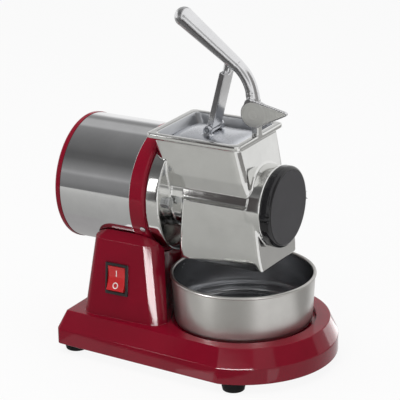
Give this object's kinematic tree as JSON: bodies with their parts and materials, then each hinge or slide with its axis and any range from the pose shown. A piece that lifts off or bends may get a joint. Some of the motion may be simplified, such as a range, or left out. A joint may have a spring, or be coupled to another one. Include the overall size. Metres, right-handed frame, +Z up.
{
  "type": "electric grater",
  "caption": "Countertop electric grater: red cast base with motor, polished hopper with lever presser over a grating roller, twist cap and steel bowl.",
  "frame": {"origin": "on the table under the middle of the bounding box", "axes": "+X from the motor towards the front cap and bowl, +Y away from the switch side, +Z up"},
  "size_m": [0.267, 0.1806, 0.3446],
  "materials": {
    "red_enamel": "gloss",
    "polished_steel": "mirror polish",
    "cast_aluminium": "polished casting",
    "bowl_steel": "fine brushed, polished rim",
    "plain_steel": "zinc plated",
    "core_steel": "laminated",
    "copper_wire": "varnished",
    "black_rubber": "matt",
    "black_plastic": "satin",
    "grey_plastic": "fine grain",
    "white_plastic": "satin",
    "red_lens": "clear gloss"
  },
  "bodies": {
    "frame": {"base_casting": "red_enamel", "bottom_plate": "plain_steel", "rubber_feet": "black_rubber", "foot_screws": "plain_steel", "switch_frame": "black_plastic", "cable_gland": "black_plastic", "gland_nut": "black_plastic", "motor_shell": "polished_steel", "motor_front_shield": "red_enamel", "motor_rear_cover": "red_enamel", "tie_rods": "plain_steel", "ring_screws": "plain_steel", "motor_screws": "plain_steel", "stator_core": "core_steel", "stator_windings": "copper_wire", "front_bearing": "plain_steel", "rear_bearing": "plain_steel", "shaft_seal": "black_rubber", "capacitor": "white_plastic", "capacitor_clip": "plain_steel", "terminal_block": "white_plastic", "grating_head": "cast_aluminium", "head_studs": "plain_steel", "head_nuts": "plain_steel", "lever_pin": "plain_steel"},
    "drive_train": {"rotor_core": "core_steel", "motor_shaft": "plain_steel", "roller_drum": "plain_steel", "roller_rear_hub": "white_plastic", "roller_front_hub": "white_plastic", "drive_pin": "plain_steel"},
    "lever_arm": {"lever": "cast_aluminium", "cheek_plates": "cast_aluminium"},
    "presser_plate": {"presser": "cast_aluminium", "presser_pin": "plain_steel"},
    "twist_cap": {"front_cap": "grey_plastic"},
    "bowl": {"bowl": "bowl_steel"},
    "rocker": {"switch_rocker": "red_lens"}
  },
  "joints": [
    {"name": "lever_swing", "type": "hinge", "parent": "frame", "child": "lever_arm", "pos_m": [0.0584, 0, 0.2518], "axis": [0, 1, 0], "range_deg": [0, 68]},
    {"name": "presser_tilt", "type": "hinge", "parent": "lever_arm", "child": "presser_plate", "pos_m": [0.0105, 0, 0.2305], "axis": [0, 1, 0], "range_deg": [-4, 4]},
    {"name": "roller_spin", "type": "hinge", "parent": "frame", "child": "drive_train", "pos_m": [0.031, 0, 0.162], "axis": [1, 0, 0], "continuous": true},
    {"name": "cap_twist", "type": "hinge", "parent": "frame", "child": "twist_cap", "pos_m": [0.08, 0, 0.162], "axis": [1, 0, 0], "range_deg": [0, 45]},
    {"name": "bowl_lift", "type": "slide", "parent": "frame", "child": "bowl", "axis": [0, 0, 1], "range_m": [0, 0.012]},
    {"name": "rocker_tip", "type": "hinge", "parent": "frame", "child": "rocker", "pos_m": [-0.0625, -0.06189, 0.08377], "axis": [1, 0, 0], "range_deg": [0, 14]}
  ]
}
